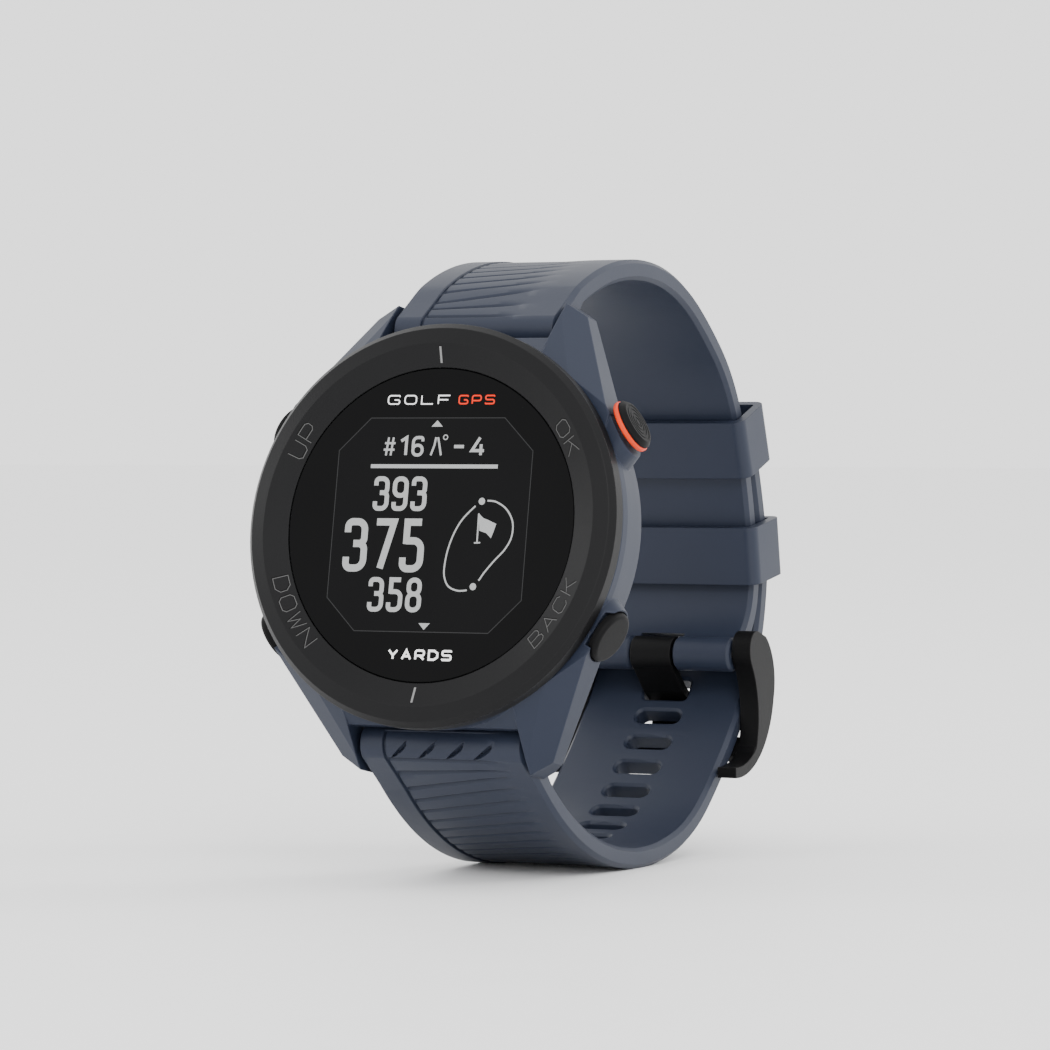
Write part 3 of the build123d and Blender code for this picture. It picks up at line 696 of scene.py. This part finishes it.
def bezel_labels():
    """Button names engraved in the sloping band of the bezel, drawn one stroke at a time as flat ribbons:
    painted shade for the inside of each engraved line, with painted highlight along one edge.
    """
    for word, (middle, height, width) in WORDS.items():
        below = 180 < middle < 360
        gap = 0.62
        total = len(word) * width + (len(word) - 1) * gap
        for i, letter in enumerate(word):
            for k, stroke in enumerate(LETTERS[letter]):
                path = []
                for u, v in subdivide(stroke):
                    along = -total / 2 + i * (width + gap) + u * width
                    radial = (v - 0.5) * height
                    if below:
                        angle = math.radians(middle) + along / LABEL_R
                        r = LABEL_R - radial
                    else:
                        angle = math.radians(middle) - along / LABEL_R
                        r = LABEL_R + radial
                    path.append((r * math.cos(angle), r * math.sin(angle)))
                closed = stroke[0] == stroke[-1]
                path = path[:-1] if closed else path
                tag = f"{word.lower()}_{i}_{k}"
                # Painted shade: this dark ribbon stands in for the shadowed inside of the engraved stroke.
                ribbon(f"label_{tag}", path, 0.20, "cut", closed, on_cone(0.010 + 0.002 * k))
                # Painted highlight: a thin lighter ribbon shifted down and right along each stroke, as the
                # lit edge of the engraving.
                lit = [(x + 0.055, y - 0.055) for x, y in path]
                ribbon(f"label_highlight_{tag}", lit, 0.085, "edge_highlight", closed, on_cone(0.016 + 0.002 * k))


def subdivide(stroke, longest=0.4):
    """A stroke with its long straight parts split, so that it follows the bezel."""
    path = [stroke[0]]
    for a, b in zip(stroke, stroke[1:]):
        steps = max(1, math.ceil(math.dist(a, b) / longest))
        path += [(a[0] + (b[0] - a[0]) * i / steps, a[1] + (b[1] - a[1]) * i / steps)
                 for i in range(1, steps + 1)]
    return path


def bezel_ticks():
    for side in (1, -1):
        name = "tick_top" if side > 0 else "tick_bottom"
        path = [(0, side * 17.5), (0, side * 18.35), (0, side * 19.2)]
        ribbon(name, path, 0.24, "tick", height=on_cone(0.012))


# ---------------------------------------------------------------- studio

def studio():
    """Pale floor, soft lights and the camera."""
    floor_mesh = bpy.data.meshes.new("floor")
    floor_mesh.from_pydata([(-6, -6, 0), (6, -6, 0), (6, 6, 0), (-6, 6, 0)], [], [(0, 1, 2, 3)])
    floor = bpy.data.objects.new("floor", floor_mesh)
    bpy.context.scene.collection.objects.link(floor)
    floor_mesh.materials.append(material("floor_white", (0.95, 0.95, 0.95), 0.6, mottle=0.01))

    world = bpy.data.worlds.new("studio")
    bpy.context.scene.world = world
    world.use_nodes = True
    world.node_tree.nodes["Background"].inputs["Color"].default_value = (1, 1, 1, 1)
    world.node_tree.nodes["Background"].inputs["Strength"].default_value = 1.9

    aim = place(0, 0, -30)
    soft_light("key", (0.55, -0.75, 0.55), aim, 0.35, 3.4)
    soft_light("side", (-0.75, -0.35, 0.30), aim, 0.30, 0.8)
    soft_light("rim", (0.75, 0.55, 0.45), aim, 0.35, 3.0)
    soft_light("low", (0.35, -0.60, 0.06), aim, 0.25, 0.7)

    lens = bpy.data.cameras.new("camera")
    lens.sensor_width = 36.0
    lens.lens = 36.0 * 4800 / 1050
    lens.clip_start = 0.01
    camera = bpy.data.objects.new("camera", lens)
    azimuth, elevation, distance = math.radians(25.99), math.radians(1.087), 0.5415
    forward = Vector((-math.sin(azimuth) * math.cos(elevation), math.cos(azimuth) * math.cos(elevation),
                      -math.sin(elevation)))
    target = place(0, 0, 0) + Vector((-4.11, 32.64, -0.78)) * MM
    camera.location = target - forward * distance
    camera.rotation_euler = forward.to_track_quat("-Z", "Y").to_euler()
    bpy.context.scene.collection.objects.link(camera)
    bpy.context.scene.camera = camera


def soft_light(name, position, aim, size, power):
    light = bpy.data.lights.new(name, "AREA")
    light.shape = "DISK"
    light.size = size
    light.energy = power
    lamp = bpy.data.objects.new(name, light)
    lamp.location = position
    lamp.rotation_euler = (Vector(position) - aim).to_track_quat("Z", "Y").to_euler()
    bpy.context.scene.collection.objects.link(lamp)


dress_nodes()
upper = strap_piece("strap_upper_skin", 1, UPPER, 0.0, 34.0, (-6.2, 1.0, 5.5), "upper_strap")
carve(upper, [tongue_notch()])
lower = strap_piece("strap_lower_skin", -1, LOWER, 0.0, 32.0, (-6.6, 4.5, 7.6), "lower_strap")
carve(lower, [slot_cutter(i) for i in SLOTS] + [start_notch(i) for i in range(4)] + [badge_recess()])
pin_hub()
dial()
bezel_labels()
bezel_ticks()
studio()
